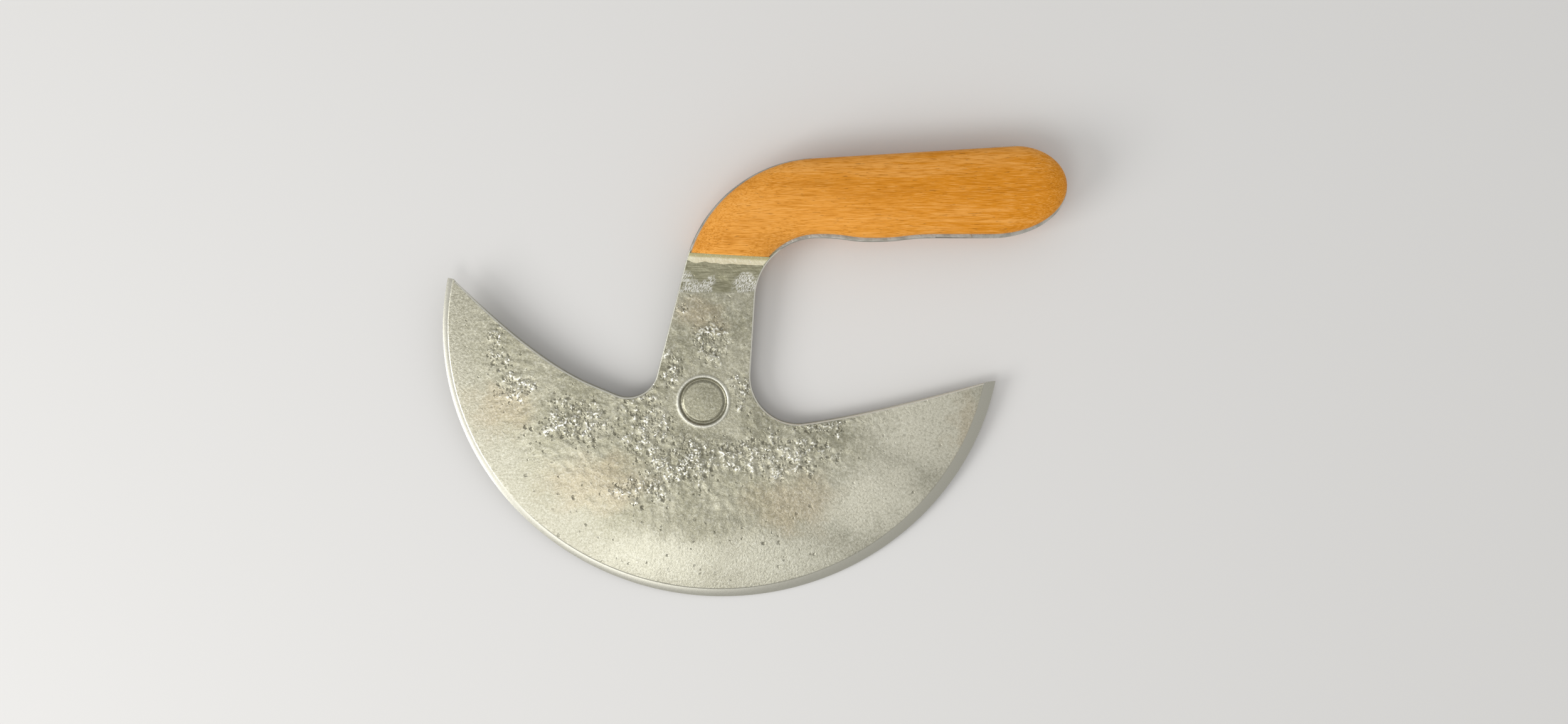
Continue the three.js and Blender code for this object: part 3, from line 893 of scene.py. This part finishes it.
wood, tree, shader, flat = new_material("oiled_fruitwood")
bands = cloudy(tree, stretch(tree, flat, (0.008, 0.09, 0.09)), 1.0, 3)
streaks = cloudy(tree, stretch(tree, flat, (0.05, 1.1, 0.9)), 1.0, 5, 0.62)
fibres = cloudy(tree, stretch(tree, flat, (0.22, 5.0, 4.0)), 1.0, 3, 0.6)
pores = ease(tree, cloudy(tree, stretch(tree, flat, (0.30, 3.4, 3.0)), 1.0, 2), 0.66, 0.74)
figure = calc(tree, "ADD", calc(tree, "MULTIPLY", bands, 0.55), calc(tree, "MULTIPLY", streaks, 0.45))
across, along_neck, _ = add_node(tree, "ShaderNodeSeparateXYZ", {0: flat}).outputs
# The wood is paler towards the neck end and the underside and deeper towards the top of the butt: partly
# wear from handling, partly painted light falling from the lower left.
handled_and_lit = ease(tree, calc(tree, "MULTIPLY_ADD", along_neck, 1.8, across), 155.0, 60.0)
tone = blend(tree, 0.55, blend(tree, handled_and_lit, WOOD_DEEP, WOOD_PALE), WOOD_TAN)
tone = tint(tree, tone, (
    (ease(tree, figure, 0.49, 0.60), 0.5, WOOD_PALE),
    (ease(tree, figure, 0.49, 0.38), 0.5, WOOD_DEEP),
    (ease(tree, fibres, 0.50, 0.66), 0.75, WOOD_DEEP),
    (ease(tree, fibres, 0.50, 0.34), 0.5, WOOD_PALE),
    (pores, 0.5, PORE_BROWN),
))
tree.links.new(tone, shader.inputs["Base Color"])
tree.links.new(calc(tree, "MULTIPLY_ADD", streaks, 0.16, 0.38), shader.inputs["Roughness"])
shader.inputs["Specular IOR Level"].default_value = 0.12
relief = calc(tree, "MULTIPLY_ADD", fibres, 0.02, calc(tree, "MULTIPLY", pores, -0.05))
set_bump(tree, shader, relief)

put_in_scene(draw_scale(), "front_wood_scale", wood, "front_scale")
back_half = draw_scale()
bmesh.ops.scale(back_half, vec=(1, 1, -1), verts=back_half.verts)
put_in_scene(back_half, "back_wood_scale", wood, "back_scale")


# Glue lines. The scales are bedded in clear resin, which shows as a fine line along the tang. At the neck
# it was pressed out, and sets there as a pale fillet against the end of the wood.
BEAD_WIDTH = 3
BEAD_HEIGHT = 1.6
BEAD_ROOM = 0.15
BEAD_INSET = 0.5
BEAD_STEPS = 70
BEAD_WANDER = 0.25
BEAD_WANDER_SCALE = 0.35

bond_face = TANG_THICKNESS / 2


def draw_glue_line():
    bm = bmesh.new()
    film = handle_plate(bm, bond_face, SCALE_INSET + BEAD_ROOM)
    thicken(bm, film, (0, 0, BOND_GAP))
    cut_off_at_neck(bm)

    hollow = bow(Vector((-BEAD_ROOM, BEAD_HEIGHT)), Vector((-BEAD_ROOM, 0)), Vector((-BEAD_WIDTH, 0)))
    bead = bmesh.new()
    section = [Vector((-BEAD_ROOM, 0)), *hollow[::4]]
    face = bead.faces.new([bead.verts.new((0, p.x, bond_face + p.y)) for p in section])
    thicken(bead, face, (2 * NECK_WIDTH, 0, 0))
    lengthwise = [edge for edge in bead.edges if edge.calc_length() > NECK_WIDTH]
    bmesh.ops.subdivide_edges(bead, edges=lengthwise, cuts=BEAD_STEPS)
    for vert in bead.verts:
        wander = noise.noise(Vector((vert.co.x * BEAD_WANDER_SCALE, 0, 4)))
        vert.co.y += min(vert.co.y + BEAD_ROOM, 0) * BEAD_WANDER * wander
    bmesh.ops.translate(bead, vec=(-NECK_WIDTH, 0, 0), verts=bead.verts)
    bmesh.ops.rotate(bead, matrix=Matrix.Rotation(-SCALE_FRONT_SKEW, 3, "Z"), verts=bead.verts)
    bmesh.ops.translate(bead, vec=cut_place, verts=bead.verts)
    grip_round = handle_curve()[-ARC_STEPS - 1:]
    nearest = min(range(ARC_STEPS), key=lambda k: abs(grip_round[k].y - wood_front + BEAD_WIDTH / 2))
    for start, end in ((neck_left(0), neck_left(wood_front)), grip_round[nearest:nearest + 2]):
        outwards = Vector((start.y - end.y, end.x - start.x, 0)).normalized()
        bmesh.ops.bisect_plane(
            bead, geom=bead.verts[:] + bead.edges[:] + bead.faces[:], dist=0.0001,
            plane_co=end.to_3d() - outwards * BEAD_INSET, plane_no=outwards, clear_outer=True)
        bmesh.ops.holes_fill(bead, edges=[edge for edge in bead.edges if edge.is_boundary], sides=0)
    scratch = bpy.data.meshes.new("bead")
    bead.to_mesh(scratch)
    bead.free()
    bm.from_mesh(scratch)
    bpy.data.meshes.remove(scratch)
    crease(bm)
    return bm


RESIN_PALE = (0.74, 0.72, 0.52, 1)
RESIN_SHADED_OLIVE = (0.50, 0.46, 0.24, 1)
FLECK_WHITE = (0.85, 0.84, 0.78, 1)

resin, tree, shader, flat = new_material("set_resin")
clouds = cloudy(tree, flat, 0.6, 3)
flecks = ease(tree, cloudy(tree, flat, 3.0, 2), 0.64, 0.70)
# The resin is painted olive under the wood and next to its end, a painted shade from the wood's edge, and
# pale further out on the neck.
away = join(tree, "DOT_PRODUCT", join(tree, "SUBTRACT", flat, cut_place), cut_direction)
clear_of_wood_shade = ease(tree, calc(tree, "MULTIPLY_ADD", clouds, 0.8, away), -0.5, -1.3)
tone = blend(tree, clear_of_wood_shade, RESIN_SHADED_OLIVE, RESIN_PALE)
tone = blend(tree, flecks, tone, FLECK_WHITE)
tree.links.new(tone, shader.inputs["Base Color"])
tree.links.new(calc(tree, "MULTIPLY_ADD", clouds, 0.2, 0.15), shader.inputs["Roughness"])
set_bump(tree, shader, calc(tree, "MULTIPLY", cloudy(tree, flat, 1.2, 2), 0.15))

put_in_scene(draw_glue_line(), "front_resin_line", resin, "front_glue_line")
back_line = draw_glue_line()
bmesh.ops.scale(back_line, vec=(1, 1, -1), verts=back_line.verts)
put_in_scene(back_line, "back_resin_line", resin, "back_glue_line")


# Hidden pins. Three lengths of drawn steel wire cross the tang and stop inside the wood of both scales.
# They are driven in with the resin still wet, and the drawing die leaves fine lines along them.
PIN_BRIGHT = (0.60, 0.60, 0.58, 1)
PIN_DULL = (0.44, 0.44, 0.42, 1)

pin_wire, tree, shader, flat = new_material("drawn_wire")
die_lines = cloudy(tree, stretch(tree, flat, (6.0, 6.0, 0.2)), 1.0, 3)
tree.links.new(blend(tree, die_lines, PIN_DULL, PIN_BRIGHT), shader.inputs["Base Color"])
tree.links.new(calc(tree, "MULTIPLY_ADD", die_lines, 0.2, 0.25), shader.inputs["Roughness"])
shader.inputs["Metallic"].default_value = 1.0
set_bump(tree, shader, calc(tree, "MULTIPLY", die_lines, 0.02))
for name in ("hidden_pin_front", "hidden_pin_middle", "hidden_pin_rear"):
    frame["nodes"][name].material_slots[0].material = pin_wire


# Table and studio. The knife lies on a plain pale table under two softboxes, left of the view and below it.
# The room has a pale ceiling and darker walls, with the darkest at the back. The camera looks straight down.
TABLE_PALE = (0.80, 0.79, 0.77, 1)
CEILING_PALE = (0.66, 0.66, 0.66, 1)
WALL_GREY = (0.46, 0.46, 0.46, 1)
BACK_WALL_DARK = (0.22, 0.22, 0.22, 1)
ROOM_LIGHT = 1.0
TABLE_SIZE = 4.0
TABLE_ROUGHNESS = 0.8
LEFT_SOFTBOX_SIZE = 0.55
LEFT_SOFTBOX_PLACE = Vector((-0.80, -0.36, 0.64))
LEFT_SOFTBOX_POWER = 4.6
FRONT_SOFTBOX_SIZE = 0.36
FRONT_SOFTBOX_PLACE = Vector((-0.22, -0.47, 1.0))
FRONT_SOFTBOX_POWER = 1.4
CAMERA_PLACE = Vector((0.00935, 0.0034, 0.600))
SENSOR_WIDTH = 36
FRAME_WIDTH = 2500
FOCAL_PIXELS = 2994

bm = bmesh.new()
bmesh.ops.create_grid(bm, x_segments=1, y_segments=1, size=TABLE_SIZE)
table_mesh = bpy.data.meshes.new("table")
bm.to_mesh(table_mesh)
bm.free()
table_top = bpy.data.materials.new("pale_table")
table_top.use_nodes = True
shader = table_top.node_tree.nodes["Principled BSDF"]
shader.inputs["Base Color"].default_value = TABLE_PALE
shader.inputs["Roughness"].default_value = TABLE_ROUGHNESS
table_mesh.materials.append(table_top)
table = bpy.data.objects.new("table", table_mesh)
bpy.context.scene.collection.objects.link(table)

for name, place, size, power in (
    ("left_softbox", LEFT_SOFTBOX_PLACE, LEFT_SOFTBOX_SIZE, LEFT_SOFTBOX_POWER),
    ("front_softbox", FRONT_SOFTBOX_PLACE, FRONT_SOFTBOX_SIZE, FRONT_SOFTBOX_POWER),
):
    softbox_data = bpy.data.lights.new(name, "AREA")
    softbox_data.size = size
    softbox_data.energy = power
    softbox = bpy.data.objects.new(name, softbox_data)
    softbox.location = place
    softbox.rotation_euler = (-place).to_track_quat("-Z", "Y").to_euler()
    bpy.context.scene.collection.objects.link(softbox)

room = bpy.data.worlds.new("room")
room.use_nodes = True
tree = room.node_tree
room_light = tree.nodes["Background"]
look = add_node(tree, "ShaderNodeTexCoord").outputs["Generated"]
_, backwards, upwards = add_node(tree, "ShaderNodeSeparateXYZ", {0: look}).outputs
walls = blend(tree, ease(tree, backwards, 0.0, 0.8), WALL_GREY, BACK_WALL_DARK)
tree.links.new(blend(tree, ease(tree, upwards, 0.0, 0.9), walls, CEILING_PALE), room_light.inputs["Color"])
room_light.inputs["Strength"].default_value = ROOM_LIGHT
bpy.context.scene.world = room

camera_data = bpy.data.cameras.new("camera")
camera_data.sensor_width = SENSOR_WIDTH
camera_data.lens = SENSOR_WIDTH * FOCAL_PIXELS / FRAME_WIDTH
camera = bpy.data.objects.new("camera", camera_data)
camera.location = CAMERA_PLACE
bpy.context.scene.collection.objects.link(camera)
bpy.context.scene.camera = camera
bpy.context.scene.view_settings.view_transform = "Standard"
